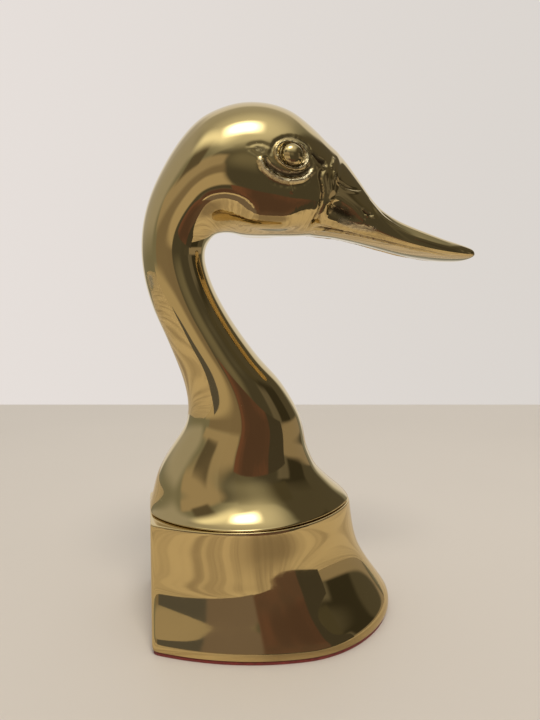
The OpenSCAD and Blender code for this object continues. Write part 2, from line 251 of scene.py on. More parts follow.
# The rows with a number of steps from each one to the next
def smoothRows(rows, steps):
    places = [i + k / count for i, count in enumerate(steps) for k in range(count)]
    return [rowAt(rows, place) for place in places] + [rows[-1]]


# The point of a row's section at an angle from its front point
def sectionPoint(row, angle):
    rearX, rearZ, frontX, frontZ, half, widest, rearFull, frontFull = row
    rear, front = np.array([rearX, 0, rearZ]), np.array([frontX, 0, frontZ])
    turn = math.cos(angle)
    full, side = (rearFull, 1 + widest) if turn < 0 else (frontFull, 1 - widest)
    across = math.sin(angle) * (1 + full * turn * turn)
    return (rear + front + (front - rear) * (widest + side * turn)) / 2 + np.array([0, half * across, 0])


# The row drawn in all round
def inward(row, distance):
    line = np.array([row[2] - row[0], row[3] - row[1]])
    x, z = line * distance / np.linalg.norm(line)
    return row + np.array([x, z, -x, -z, -distance, 0, 0, 0])


def lifted(row, rise):
    return row + np.array([0, rise, 0, rise, 0, 0, 0, 0])


# The middle row of a rounded edge; the sign of the rise tells a lower edge from an upper one
def rounded(row, size, rise):
    return lifted(inward(row, size * roundedShare), rise * size * roundedShare)


def selectOnly(piece):
    bpy.ops.object.select_all(action="DESELECT")
    piece.select_set(True)
    bpy.context.view_layer.objects.active = piece


# Extrudes a circle ring by ring through the given rings, and closes both ends
def loftRings(name, rings, closeTip):
    bpy.ops.object.select_all(action="DESELECT")
    count = len(rings[0])
    middle = np.mean(rings[0], axis=0)
    reach = float(np.abs(rings[0] - middle).max())
    bpy.ops.mesh.primitive_circle_add(vertices=count, radius=reach, location=tuple(middle))
    loft = bpy.context.object
    loft.name = name
    bpy.ops.object.transform_apply(location=True, rotation=True, scale=True)
    bpy.ops.object.mode_set(mode="EDIT")
    bpy.ops.mesh.select_mode(type="VERT")
    bpy.ops.mesh.select_all(action="SELECT")
    shell = bmesh.from_edit_mesh(loft.data)
    shell.verts.ensure_lookup_table()
    ring = [shell.verts[i] for i in range(count)]
    for vert, spot in zip(ring, rings[0]):
        vert.co = spot
    for spots in rings[1:]:
        order = {vert.co[:]: k for k, vert in enumerate(ring)}
        bpy.ops.mesh.extrude_region_move()
        shell = bmesh.from_edit_mesh(loft.data)
        ring = sorted((v for v in shell.verts if v.select), key=lambda v: order[v.co[:]])
        for vert, spot in zip(ring, spots):
            vert.co = spot
    if closeTip:
        bpy.ops.mesh.merge(type="CENTER")
    bpy.ops.mesh.select_all(action="SELECT")
    bpy.ops.mesh.fill_holes(sides=0)
    bpy.ops.mesh.select_all(action="SELECT")
    bpy.ops.mesh.normals_make_consistent(inside=False)
    bpy.ops.object.mode_set(mode="OBJECT")
    return loft


def subdivide(piece, levels):
    selectOnly(piece)
    smoother = piece.modifiers.new("smoother", "SUBSURF")
    smoother.levels = levels
    smoother.render_levels = levels
    bpy.ops.object.modifier_apply(modifier=smoother.name)


def coordinates(piece):
    spots = np.empty(len(piece.data.vertices) * 3)
    piece.data.vertices.foreach_get("co", spots)
    return spots.reshape(-1, 3)


def directions(piece):
    return np.array([v.normal[:] for v in piece.data.vertices])


def setCoordinates(piece, spots):
    piece.data.vertices.foreach_set("co", spots.ravel())
    piece.data.update()


def makeHeadAndNeck():
    rows = duckRows()
    half = duck["around"]
    shares = [k / half for k in range(half + 1)]
    turns = [share + duck["crowded"] * math.sin(2 * math.pi * share) / (2 * math.pi) for share in shares]
    angles = [-math.pi * turn for turn in reversed(turns[1:])] + [math.pi * turn for turn in turns[:-1]]
    foot, edge = rows[0], duck["edge"]
    start = [inward(foot, duck["closing"]), inward(foot, edge), rounded(foot, edge, 1), lifted(foot, edge)]
    body = [row for row in smoothRows(rows, duck["steps"])
            if min(row[1], row[3]) > duck["seam"] + edge * clearShare]
    rings = [np.array([sectionPoint(row, angle) for angle in angles]) for row in start + body]
    for ring in rings:
        flat = ring[:, 2] < duck["seam"] + duck["backRise"]
        ring[:, 0] = np.where(flat, np.maximum(ring[:, 0], -duck["backReach"]), ring[:, 0])
    head = loftRings("headAndNeckCast", rings, closeTip=True)
    subdivide(head, duck["levels"])
    print("head and neck raised:", len(head.data.vertices), "points")
    return head


# The face's carving on the near side, in mm, mirrored to the other: height (a groove is below 0), half
# width, how rough the casting is left, and the points that the chisel went through
carving = {
    "ringTop": (-0.4, 0.6, 0.35, [
        (1.5, -21.4, 162.5), (3.2, -21, 167), (6, -20.2, 169.1), (9.2, -19.1, 170), (12.8, -18.5, 169.6),
        (15.8, -18.1, 167.7), (16.9, -18.7, 164.2)]),
    "lidGroove": (-0.85, 0.85, 1, [
        (-0.4, -21.4, 162.4), (0.9, -21.3, 159.7), (3.4, -21, 158.2), (6.2, -20.7, 157.3),
        (8.8, -20.4, 157.1), (12.5, -20, 157.7), (15.2, -19.6, 159.2), (16.7, -19, 161.3)]),
    "lowerLid": (0.75, 0.75, 0.9, [
        (-1.9, -21.5, 162.4), (-0.7, -21.4, 158.9), (2.4, -21.1, 156.6), (5.8, -20.7, 155.5),
        (8.6, -20.5, 155.2), (12.7, -20.1, 155.9), (14.9, -19.8, 157.3), (17, -19.2, 159.6)]),
    "lidBulge": (0.4, 1.1, 0.9, [
        (-1.6, -21.5, 161.6), (-0.2, -21.4, 158.6), (2.8, -21.1, 156.8)]),
    "underLid": (-0.25, 0.8, 0.1, [
        (1, -21, 155), (5, -20.6, 153.8), (9, -20.3, 153.6), (13, -20, 154.4), (16, -19.6, 156.4)]),
    "spurCut": (-0.1, 0.35, 0.1, [
        (8.6, -20.4, 155.4), (9.4, -20, 153.6), (10.1, -19.5, 151.6)]),
    "spurRidge": (0.3, 0.45, 0, [
        (7.9, -20.4, 155.2), (8.7, -20, 153.5), (9.4, -19.5, 151.5)]),
    "cornerTop": (-0.16, 0.6, 0.1, [
        (-6.4, -21.2, 165.2), (-3.2, -21.1, 166.4), (-0.5, -21.1, 166.5), (2.1, -21.2, 165.4)]),
    "cornerLow": (-0.12, 0.7, 0.15, [
        (-6, -21.3, 164.6), (-3.5, -21.4, 163.2), (-1.4, -21.6, 162)]),
    "cornerHollow": (-0.1, 1.2, 0.4, [
        (-3.6, -21.3, 164.8), (-1.8, -21.3, 164.6), (0.2, -21.3, 164)]),
    "frontRidge": (0.2, 0.7, 0.35, [
        (14.6, -18.3, 167.6), (16.2, -18.6, 165.3), (17.3, -18.7, 162.9), (18.1, -18.8, 160.4)]),
    "frontCut": (-0.6, 0.7, 0.4, [
        (16.8, -18.2, 166), (18.7, -17.8, 164.2), (20.6, -17.4, 162.8), (22.9, -16.7, 161.9)]),
    "frontHole": (-0.6, 1, 0.5, [
        (19.2, -17.6, 163.6), (21, -17.2, 163), (22.4, -16.8, 163.2)]),
    "cusp": (0.35, 0.4, 0.1, [
        (26.6, -13.1, 165.8), (25.4, -14.8, 163.3), (24, -16.1, 161.2)]),
    "billLine": (-0.5, 0.5, 0.25, [
        (23.7, -16.4, 161.4), (20.6, -18, 159.6), (19.8, -18.6, 157.4), (20.4, -18.4, 154.4),
        (20.7, -18.2, 151.8), (20.3, -17.6, 149.2), (19.7, -16.6, 147), (18.8, -14.9, 144.9),
        (18, -12, 142.7), (17.9, -7.6, 141.1)]),
    "billRidge": (0.12, 0.8, 0.1, [
        (22.5, -17.3, 160.3), (21.5, -18.1, 157.6), (21.7, -18.1, 154.2), (21.9, -17.9, 151.3),
        (21.5, -17.3, 148.6), (20.9, -16.1, 146.4), (19.8, -14.2, 144.3)]),
    "fileMarkA": (-0.14, 0.35, 0, [
        (23.3, -17, 160.5), (23, -17.3, 157), (23.4, -17.2, 153.4)]),
    "fileMarkB": (-0.14, 0.35, 0, [
        (24.9, -16.2, 161), (24.4, -16.5, 157.5), (24.7, -16.4, 154)]),
    "fileMarkC": (-0.1, 0.3, 0, [
        (26, -15.6, 159), (25.8, -15.8, 156), (26.2, -15.6, 153.6)]),
    "planeCut": (-0.35, 0.55, 0.15, [
        (26.7, -14, 163.2), (26.3, -15.5, 160.5), (27, -15.6, 158.1), (28.9, -14.2, 156.6),
        (31.2, -13.4, 155.7), (34.8, -11.8, 155.4), (38.7, -8.9, 156.1)]),
    "planeEdge": (0.3, 0.45, 0, [
        (26, -14.4, 162.8), (25.6, -15.8, 160.2), (26.3, -16, 157.6), (28.4, -14.6, 155.9),
        (31, -13.8, 154.8), (34.8, -12, 154.5), (38.7, -9.2, 155.2)]),
    "hollowEdge": (0.4, 0.6, 0, [
        (22.7, -17, 149), (24.5, -16.2, 150.4), (27.5, -15.1, 151), (29.9, -14.5, 150),
        (33.1, -13.8, 148.3), (35.8, -13.3, 146), (38.4, -12.8, 144.2)]),
    "hollow": (-0.7, 2, 0.5, [
        (22.6, -15.9, 147.2), (25.4, -14.9, 147.7), (29.2, -14.1, 146.6), (33.2, -13.2, 144.9),
        (36.7, -12.2, 143.2)]),
    "hollowBed": (-0.25, 1, 1, [
        (27.5, -13.6, 144.6), (31, -12.8, 143.6), (35, -12, 142.6), (39, -11.4, 142.2), (43.5, -10.9, 142)]),
    "lipTop": (0.5, 0.8, 0.2, [
        (20, -13.4, 143.5), (24.6, -11.9, 143.2), (29, -10.8, 142.3), (34, -10, 141.4)]),
    "lipEdge": (0.4, 0.7, 0.1, [
        (34, -9.6, 141.5), (45, -9.2, 139.9), (57, -9.6, 137.8), (67.5, -10, 135.8), (76, -8.9, 134.4)]),
    "jaw": (2, 5, 0, [
        (-14, -13.5, 143.5), (-5, -14.5, 142.8), (3, -14.5, 142.6), (11, -14.2, 142.8), (17, -13, 143.4)]),
    "lipSwell": (1, 2.4, 0, [
        (18, -14.9, 144.9), (22, -13.8, 144.3), (27, -12.6, 143.6), (35, -11.4, 142.2), (44, -10.4, 140.8)]),
    "billEdge": (0.5, 1.1, 0, [
        (41.5, -11, 153.5), (46, -11.5, 146.5), (55.5, -12, 140.5), (63, -12, 138), (71, -12, 136),
        (78, -11.5, 134.6)]),
    "mouth": (-0.8, 0.7, 0.45, [
        (19.6, -9.7, 141.8), (22.6, -9.1, 141.9), (25.4, -8.6, 141.6), (30.5, -8.1, 140.8),
        (38.2, -8.2, 139.2), (47.7, -9.1, 137.6), (57.5, -9.6, 135.8), (67.5, -10, 133.9),
        (76.5, -8.8, 132.6)]),
    "underLip": (0.4, 0.55, 0.1, [
        (21, -8, 140.6), (30.5, -7.4, 139.6), (47.7, -8.4, 136.3), (67.5, -9.3, 132.6)]),
    "nostrilCut": (-0.5, 0.5, 0.4, [
        (37.6, -13, 148.3), (38.9, -12.8, 147), (40.2, -12.5, 146.4), (41.8, -12.1, 146.9)]),
    "nostrilEdge": (0.4, 0.4, 0, [
        (38.2, -12.9, 146.5), (39.9, -12.6, 145.6), (42, -12.1, 146.2)]),
    "napePatch": (-0.25, 1.6, 0.8, [
        (-37.6, -6.5, 124.5), (-37.9, -6.3, 122.1), (-37.2, -7, 119.8)]),
}
# How the chisel works; the broad strokes, from "broad" mm half width, fade more softly
chisel = {"step": 0.25 * mm, "fewest": 12, "fading": 0.14, "blunt": 0.7, "broad": 2, "broadFading": 0.4,
          "reach": 3, "wobble": 0.25, "chatter": 0.35, "castSpread": 0.3, "tarnish": 1.6, "leastCast": 0.02}
pebbles = {"size": 0.8 * mm, "height": 0.22 * mm, "fine": 0.2 * mm, "fineShare": 0.6, "waveSize": 13 * mm,
           "wave": 0.035 * mm, "wobbleSize": 1.6 * mm}
noiseStart = {"wobble": 4.3, "chatter": 8.6, "pebbles": 3.1, "fine": 9.4, "wave": 5.7, "eyePebbles": 2.2,
              "eyeFine": 7.9}
noiseShares = (1, 0.7, 1.3)


def noiseField(spots, size, start):
    offset = Vector([start * share for share in noiseShares])
    return np.array([noise.noise(Vector(spot) / size + offset) for spot in spots])


def surfaceTree(piece):
    faces = [tuple(face.vertices) for face in piece.data.polygons]
    return BVHTree.FromPolygons([v.co[:] for v in piece.data.vertices], faces)


# A chisel stroke as close points on the skin, with how deep it goes at each, shallow at the ends
def strokeOnSkin(skin, points, broad):
    spots = np.array(points) * mm
    length = np.linalg.norm(np.diff(spots, axis=0), axis=1).sum()
    count = max(chisel["fewest"], int(length / chisel["step"]))
    line = [rowAt(spots, k / count * (len(spots) - 1)) for k in range(count + 1)]
    held = np.array([skin.find_nearest(Vector(spot))[0][:] for spot in line])
    share = np.linspace(0, 1, count + 1)
    ends = np.minimum(share, 1 - share)
    if broad:
        fade = np.clip(ends / chisel["broadFading"], 0, 1)
        return held, fade * fade * (3 - 2 * fade)
    return held, np.clip(ends / chisel["fading"], 0, 1) ** chisel["blunt"]


# A number kept at each point of a piece, which its material reads
def mark(piece, name, values):
    piece.data.attributes.new(name, "FLOAT", "POINT").data.foreach_set("value", values)


def folded(spots):
    near = spots.copy()
    near[:, 1] = -np.abs(near[:, 1])
    return near


# The eye's seat, cut into the skin under the stud
eyeSeat = {"length": 6.1 * mm, "height": 4.6 * mm, "edge": 0.2, "through": 6 * mm, "deep": 1.7 * mm}


def carveFace(head):
    skin = surfaceTree(head)
    spots, normals = coordinates(head), directions(head)
    near = folded(spots)
    height, cast, groove = np.zeros(len(spots)), np.zeros(len(spots)), np.zeros(len(spots))
    for depth, half, rough, points in carving.values():
        line, taper = strokeOnSkin(skin, points, half >= chisel["broad"])
        reach = half * chisel["reach"] * mm
        low, high = line.min(axis=0) - reach, line.max(axis=0) + reach
        close = np.where(np.all((near > low) & (near < high), axis=1))[0]
        gap = np.linalg.norm(near[close][:, None] - line[None], axis=2)
        nearest = gap.argmin(axis=1)
        distance = gap[np.arange(len(close)), nearest] / mm
        wobble = noiseField(near[close], pebbles["wobbleSize"], noiseStart["wobble"])
        distance = np.clip(distance + wobble * chisel["wobble"] * min(half, 1) * (rough > 0), 0, None)
        shape = taper[nearest] * np.exp(-(distance / half) ** 2)
        chatter = noiseField(near[close], pebbles["wobbleSize"], noiseStart["chatter"])
        height[close] += depth * mm * shape * (1 + chisel["chatter"] * rough * chatter)
        around = taper[nearest] * np.exp(-(distance / (half + chisel["castSpread"])) ** 2)
        cast[close] = np.maximum(cast[close], rough * around)
        if depth < 0:
            groove[close] = np.maximum(groove[close], shape * min(1, -depth * chisel["tarnish"]))
        else:
            groove[close] *= 1 - shape
    centre, across, up, out = eyeFrame(skin)
    flat = near - centre
    shape = np.hypot(flat @ across / eyeSeat["length"], flat @ up / eyeSeat["height"])
    inside = np.clip((1 - shape) / eyeSeat["edge"], 0, 1) * (np.abs(flat @ out) < eyeSeat["through"])
    height -= eyeSeat["deep"] * inside
    rough = np.where(cast > chisel["leastCast"])[0]
    grains = noiseField(near[rough], pebbles["size"], noiseStart["pebbles"])
    grains = grains + pebbles["fineShare"] * noiseField(near[rough], pebbles["fine"], noiseStart["fine"])
    height[rough] += pebbles["height"] * cast[rough] * grains
    height += pebbles["wave"] * noiseField(spots, pebbles["waveSize"], noiseStart["wave"])
    setCoordinates(head, spots + normals * height[:, None])
    mark(head, "cast", cast)
    mark(head, "groove", groove)
    print("face carved:", len(carving), "strokes a side")


# The eye stud: rings from the rim's buried edge to the top of the ball, as half length, half height and rise
# in mm, and how much each ring follows the skin. The rough cast rim and the dark groove are given as the
# share of the rim's half sizes where they lie, then how wide they are and how strong.
eye = {"centre": (9.2, -19.4, 163.5), "tilt": 9, "around": 30, "levels": 2, "feel": (4, 3), "probe": 10 * mm,
       "rings": [
           (6.9, 5.3, -0.9, 1), (6.85, 5.3, -0.2, 1), (6.65, 5.15, 0.5, 1), (6.2, 4.75, 0.85, 1),
           (5.65, 4.35, 0.7, 0.95), (5.2, 4.12, 0.2, 0.85), (4.8, 4.02, -0.25, 0.7),
           (4.3, 3.98, -0.45, 0.4), (3.95, 3.92, -0.2, 0.1), (3.86, 3.86, 0.45, 0), (3.5, 3.5, 1.25, 0),
           (2.8, 2.8, 1.9, 0), (1.8, 1.8, 2.35, 0), (0.8, 0.8, 2.55, 0), (0, 0, 2.6, 0)],
       "canthus": 0.5, "canthusTurn": 0.6, "canthusSharp": 3, "canthusRings": (4.2, 5.9),
       "rim": (6.6, 5.1), "castRise": (0.66, 0.1), "castFall": (0.84, 0.08, 0.45), "castTone": 0.7,
       "groove": (0.7, 0.09, 0.9), "grain": 1.6, "fineShare": 0.7, "relief": 1.1}


# The eye's place on the skin, and its directions along, up and out
def eyeFrame(skin):
    spot = skin.find_nearest(Vector(eye["centre"]) * mm)[0]
    wide, high = eye["feel"]
    felt = [Vector((x, 0, z)) * mm for x in (-wide, 0, wide) for z in (-high, 0, high)]
    hits = [skin.find_nearest(spot + step)[1] for step in felt]
    out = np.array(sum(hits, Vector()).normalized())
    lean = eye["tilt"] * degree
    across = np.array([math.cos(lean), 0, -math.sin(lean)])
    across = across - out * (across @ out)
    across = across / np.linalg.norm(across)
    up = np.cross(out, across)
    return np.array(spot), across, up if up[2] > 0 else -up, out


def makeEye(skin, name, side):
    centre, across, up, out = eyeFrame(skin)
    inner, outer = eye["canthusRings"]
    rings = []
    for length, height, rise, follow in eye["rings"]:
        ring = []
        for k in range(eye["around"]):
            turn = 2 * math.pi * k / eye["around"]
            flat = centre + (across * length * math.cos(turn) + up * height * math.sin(turn)) * mm
            hit = skin.ray_cast(Vector(flat + out * eye["probe"]), Vector(-out))[0]
            lift = (np.array(hit) - centre) @ out if hit else 0
            corner = 0
            if inner < length < outer:
                corner = eye["canthus"] * max(0, math.cos(turn + eye["canthusTurn"])) ** eye["canthusSharp"]
            spot = flat + out * (lift * follow + (rise + corner) * mm)
            ring.append(spot * np.array([1, side, 1]))
        rings.append(np.array(ring))
    stud = loftRings(name, rings, closeTip=True)
    subdivide(stud, eye["levels"])
    spots, normals = coordinates(stud), directions(stud)
    near = folded(spots)
    flat = near - centre
    reach = np.hypot(flat @ across / eye["rim"][0], flat @ up / eye["rim"][1]) / mm
    start, width = eye["castRise"]
    cast = np.clip((reach - start) / width, 0, 1)
    start, width, share = eye["castFall"]
    cast = cast * (1 - share * np.clip((reach - start) / width, 0, 1))
    grains = noiseField(near, pebbles["size"] * eye["grain"], noiseStart["eyePebbles"])
    grains = grains + eye["fineShare"] * noiseField(near, pebbles["fine"], noiseStart["eyeFine"])
    setCoordinates(stud, spots + normals * (cast * grains * pebbles["height"] * eye["relief"])[:, None])
    middle, width, dark = eye["groove"]
    mark(stud, "cast", cast * eye["castTone"])
    mark(stud, "groove", np.clip(1 - np.abs(reach - middle) / width, 0, 1) * dark)
    print(name, "turned:", len(stud.data.vertices), "points")
    return stud


# The D-shaped outline of a row, from one back corner round the front to the other, and along the flat back
def backedOutline(row, back):
    low, high = math.pi / 2, math.pi
    for step in range(base["halvings"]):
        middle = (low + high) / 2
        if sectionPoint(row, middle)[0] > back:
            low = middle
        else:
            high = middle
    corner = low
    arc = [sectionPoint(row, -corner + 2 * corner * k / (base["arc"] - 1)) for k in range(base["arc"])]
    half = abs(arc[0][1])
    lastPoint = sectionPoint(row, corner - base["corner"] / max(half, base["leastHalf"]))
    arc = [lastPoint * np.array([1, -1, 1])] + arc[1:-1] + [lastPoint]
    flat = np.linspace(half - base["corner"], -half + base["corner"], base["back"])
    return np.array(arc + [np.array([back, y, row[1]]) for y in flat])


def makeBase():
    b = base
    rows = smoothRows(baseRows(), [2] * (len(b["flareShares"]) - 1))
    foot, top, back, edge, lip = rows[0], rows[-1], b["backReach"], b["edge"], b["lip"]
    low, high = b["felt"] + edge * clearShare, b["felt"] + b["height"] - lip * clearShare
    steps = [(inward(foot, b["footClosing"]), back - b["footClosing"]), (inward(foot, edge), back - edge),
             (rounded(foot, edge, 1), back - edge * roundedShare), (lifted(foot, edge), back)]
    steps += [(row, back) for row in rows if low < row[1] < high]
    steps += [(lifted(top, -lip), back), (rounded(top, lip, -1), back - lip * roundedShare),
              (inward(top, lip), back - lip), (inward(top, b["topClosing"]), back - b["topClosing"])]
    shell = loftRings("baseCast", [backedOutline(row, -reach) for row, reach in steps], closeTip=False)
    subdivide(shell, b["levels"])
    print("base raised:", len(shell.data.vertices), "points")
    return shell


feltPad = {"thick": 1 * mm, "inset": 0.6 * mm, "fuzz": 0.15 * mm, "bulgeShare": 0.4, "closing": 6 * mm}


def makeFelt():
    fuzz, closing, thick = feltPad["fuzz"], feltPad["closing"], feltPad["thick"]
    foot = inward(baseRows()[0], feltPad["inset"])
    back = base["backReach"] - feltPad["inset"]
    steps = [(inward(foot, closing), back - closing, 0), (inward(foot, fuzz), back - fuzz, 0),
             (foot, back, feltPad["bulgeShare"] * thick), (foot, back, thick),
             (inward(foot, closing), back - closing, thick)]
    rings = []
    for row, reach, z in steps:
        ring = backedOutline(row, -reach)
        ring[:, 2] = z
        rings.append(ring)
    pad = loftRings("feltPad", rings, closeTip=False)
    print("felt cut:", len(pad.data.vertices), "points")
    return pad


# Speckles are scale, detail and roughness
brass = {"polished": (0.67, 0.53, 0.27), "rubbed": (0.70, 0.62, 0.44), "tarnished": (0.12, 0.085, 0.045),
         "clouds": (45.0, 4.0, 0.55), "cloudRise": (0.3, 0.75), "cloudShare": 0.35, "cloudDim": 0.86,
         "smudges": (160.0, 5.0, 0.6), "smudgeRise": (0.45, 0.8), "grain": (2600.0, 4.0, 0.6),
         "rubbedLeast": 0.5, "rubbedRise": (0.1, 0.9), "rubbedShare": 0.8,
         "tarnishedLeast": 0.55, "tarnishedRise": (0.15, 0.95), "tarnishedShare": 0.9,
         "gloss": 0.045, "smudgeRough": 0.05, "castRough": 0.34,
         "scratches": ((900.0, (0.06, 1, 1), (0.3, 0.5, 0.2)), (1100.0, (1, 0.3, 0.05), (0.6, 0.1, 0.4))),
         "scratchFine": (2.0, 0.5), "scratchDeep": 0.00035, "castDeep": 0.1, "smudgeDeep": 0.0012}


def brassMaterial(name):
    material, r = newMaterial(name)
    place = r.objectPlace()
    cast = r.make("ShaderNodeAttribute", {"attribute_name": "cast"}, "Fac")
    groove = r.make("ShaderNodeAttribute", {"attribute_name": "groove"}, "Fac")
    cloud = r.speckle(place, *brass["clouds"])
    smudge = r.speckle(place, *brass["smudges"])
    grain = r.speckle(place, *brass["grain"])
    tone = r.blend(cloud.rise(*brass["cloudRise"]) * brass["cloudShare"], rgba(brass["polished"]),
                   rgba(brass["polished"], brass["cloudDim"]))
    rubbed = (cast * (brass["rubbedLeast"] + grain)).rise(*brass["rubbedRise"])
    tone = r.blend(rubbed * brass["rubbedShare"], tone, rgba(brass["rubbed"]))
    tarnished = (groove * (brass["tarnishedLeast"] + grain)).rise(*brass["tarnishedRise"])
    tone = r.blend(tarnished * brass["tarnishedShare"], tone, rgba(brass["tarnished"]))
    rough = brass["gloss"] + smudge.rise(*brass["smudgeRise"]) * brass["smudgeRough"]
    rough = rough + cast * brass["castRough"]
    first, second = [r.speckle(r.stretched(place, sizes, turn), scale, *brass["scratchFine"])
                     for scale, sizes, turn in brass["scratches"]]
    height = (first + second) * brass["scratchDeep"] + cast * grain * brass["castDeep"]
    height = height + smudge * brass["smudgeDeep"]
    r.end(r.make("ShaderNodeBsdfPrincipled", None, 0, Base_Color=tone, Metallic=1.0, Roughness=rough,
                 Normal=r.bump(height)))
    return material


steel = {"screw": (0.55, 0.54, 0.52), "screwGloss": 0.28, "plate": (0.42, 0.41, 0.4), "plateGloss": 0.38,
         "clouds": (300.0, 4.0, 0.6), "cloudRise": (0.35, 0.7), "cloudShare": 0.5, "cloudDim": 0.7,
         "cloudRough": 0.12,
         "lines": (2400.0, 2.0, 0.5), "drawn": (1, 1, 0.05), "lineDeep": 0.004}


def steelMaterial(name, hue, gloss):
    material, r = newMaterial(name)
    place = r.objectPlace()
    cloud = r.speckle(place, *steel["clouds"])
    lines = r.speckle(r.stretched(place, steel["drawn"]), *steel["lines"])
    tone = r.blend(cloud.rise(*steel["cloudRise"]) * steel["cloudShare"], rgba(hue),
                   rgba(hue, steel["cloudDim"]))
    r.end(r.make("ShaderNodeBsdfPrincipled", None, 0, Base_Color=tone, Metallic=1.0,
                 Roughness=gloss + cloud * steel["cloudRough"], Normal=r.bump(lines * steel["lineDeep"])))
    return material


feltCloth = {"red": (0.26, 0.03, 0.02), "dim": 0.5, "bright": 1.3,
             "fibres": (1900.0, 6.0, 0.75), "fibreRise": (0.3, 0.72), "fibreDeep": 0.25,
             "tufts": (420.0, 4.0, 0.6), "tuftRise": (0.4, 0.7), "tuftShare": 0.35, "tuftDeep": 0.2,
             "rough": 0.95, "sheen": 0.1, "sheenRough": 0.6}


def feltMaterial(name):
    c = feltCloth
    material, r = newMaterial(name)
    place = r.objectPlace()
    fibres = r.speckle(place, *c["fibres"])
    tufts = r.speckle(place, *c["tufts"])
    tone = r.blend(fibres.rise(*c["fibreRise"]), rgba(c["red"], c["dim"]), rgba(c["red"]))
    tone = r.blend(tufts.rise(*c["tuftRise"]) * c["tuftShare"], tone, rgba(c["red"], c["bright"]))
    r.end(r.make("ShaderNodeBsdfPrincipled", None, 0, Base_Color=tone, Roughness=c["rough"],
                 Normal=r.bump(fibres * c["fibreDeep"] + tufts * c["tuftDeep"]),
                 Sheen_Weight=c["sheen"], Sheen_Roughness=c["sheenRough"]))
    return material


def setMaterial(piece, material):
    if not piece.material_slots:
        piece.data.materials.append(material)
    for held in piece.material_slots:
        held.material = material


head = makeHeadAndNeck()
bareSkin = surfaceTree(head)
rightEye = makeEye(bareSkin, "eyeStudRight", 1)
leftEye = makeEye(bareSkin, "eyeStudLeft", -1)
carveFace(head)
baseCast = makeBase()
felt = makeFelt()

castBrass = brassMaterial("castBrass")
baseBrass = brassMaterial("baseBrass")
eyeBrass = brassMaterial("eyeBrass")
screwSteel = steelMaterial("screwSteel", steel["screw"], steel["screwGloss"])
plateSteel = steelMaterial("plateSteel", steel["plate"], steel["plateGloss"])
redFelt = feltMaterial("redFelt")
smoothAngle = 42 * degree

for piece, material, node, slot in ((head, castBrass, "head_and_neck", "cast_brass"),
                                    (baseCast, baseBrass, "base_shell", "base_brass"),
                                    (rightEye, eyeBrass, "eye_right", "eye_brass"),
                                    (leftEye, eyeBrass, "eye_left", "eye_brass"),
                                    (felt, redFelt, "felt_pad", "red_felt")):
    setMaterial(piece, material)
    selectOnly(piece)
    bpy.ops.object.shade_smooth_by_angle(angle=smoothAngle)
    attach(piece, "root")
    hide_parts(node)
for node, material in (("clamp_screws", screwSteel), ("clamp_washers", screwSteel),
                       ("plate_screws", screwSteel), ("bottom_plate", plateSteel)):
    setMaterial(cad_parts[node], material)
print("materials laid on")


# A direction by azimuth, which is 0 straight behind the duck and 90 to its front, and elevation
def toward(azimuth, elevation):
    a, e = azimuth * degree, elevation * degree
    return Vector((math.sin(a) * math.cos(e), math.cos(a) * math.cos(e), math.sin(e)))


# The room that only the brass mirrors, as panels: azimuth and elevation of the middle, half sizes and soft
# edge in degrees, the colour, and how dense the panel is. The camera sees a plain pale wall.
room = {
    "plain": (0.25, 0.245, 0.2),
    "panels": [
        ("ceiling", 0, 90, 34, 34, 12, (0.46, 0.44, 0.38), 1),
        ("paleWall", 8, 26, 40, 36, 7, (0.8, 0.77, 0.74), 1),
        ("leftWall", 300, 32, 32, 24, 10, (0.47, 0.45, 0.42), 0.9),
        ("dimSide", 100, 8, 44, 42, 5, (0.1, 0.09, 0.068), 1),
        ("darkSide", 119, 2, 36, 28, 4, (0.045, 0.04, 0.028), 1),
        ("paleFar", 100, 0, 42, 6, 2, (0.34, 0.28, 0.21), 1),
        ("darkFront", 165, 2, 44, 34, 4, (0.085, 0.078, 0.062), 0.97),
        ("frontGlow", 174, 16, 13, 9, 8, (0.24, 0.22, 0.165), 0.8),
        ("dimBand", 150, 38, 30, 6, 3, (0.09, 0.08, 0.055), 0.95),
        ("brownSide", 222, 3, 32, 8, 3, (0.27, 0.215, 0.155), 0.95),
        ("midTan", 226, 19, 34, 9, 4, (0.45, 0.37, 0.27), 0.95),
        ("dimPatch", 237, 38, 11, 14, 3, (0.12, 0.1, 0.075), 0.92),
        ("tanSide", 228, -15, 38, 12, 3, (0.56, 0.46, 0.32), 0.95),
        ("redBelow", 150, -58, 50, 22, 3, (0.125, 0.068, 0.055), 1),
        ("paleSpot", 118, 15, 8, 10, 3, (0.19, 0.17, 0.14), 0.8),
        ("glow", 176, 62, 25, 24, 20, (1, 0.97, 0.82), 0.8),
        ("glowLeft", 226, 56, 22, 9, 9, (1.5, 1.45, 1.2), 0.8),
        ("lamp", 182, 65, 10, 8, 7, (6, 5.9, 5.5), 1),
    ],
    "wallTones": ((0.80, 0.745, 0.71), (0.70, 0.66, 0.62)), "wallTurn": (-0.5, 0.8),
    "light": (0.62, 0.62, 0.62), "ahead": (0.0, 0.05), "leastAhead": 0.01, "widest": 80,
}


def panelMask(r, direction, azimuth, elevation, wide, high, soft):
    axes = toward(azimuth, elevation), toward(azimuth + 90, 0), toward(azimuth, elevation + 90)
    ahead, right, up = [r.vectorMaths("DOT_PRODUCT", direction, axis) for axis in axes]
    near = r.maths("MAXIMUM", ahead, room["leastAhead"])
    mask = ahead.rise(*room["ahead"])
    blur = math.tan(soft * degree)
    for aside, half in ((right, wide), (up, high)):
        edge = math.tan(min(half, room["widest"]) * degree)
        mask = mask * (1 - r.maths("ABSOLUTE", aside / near).rise(edge - blur, edge + blur))
    return mask


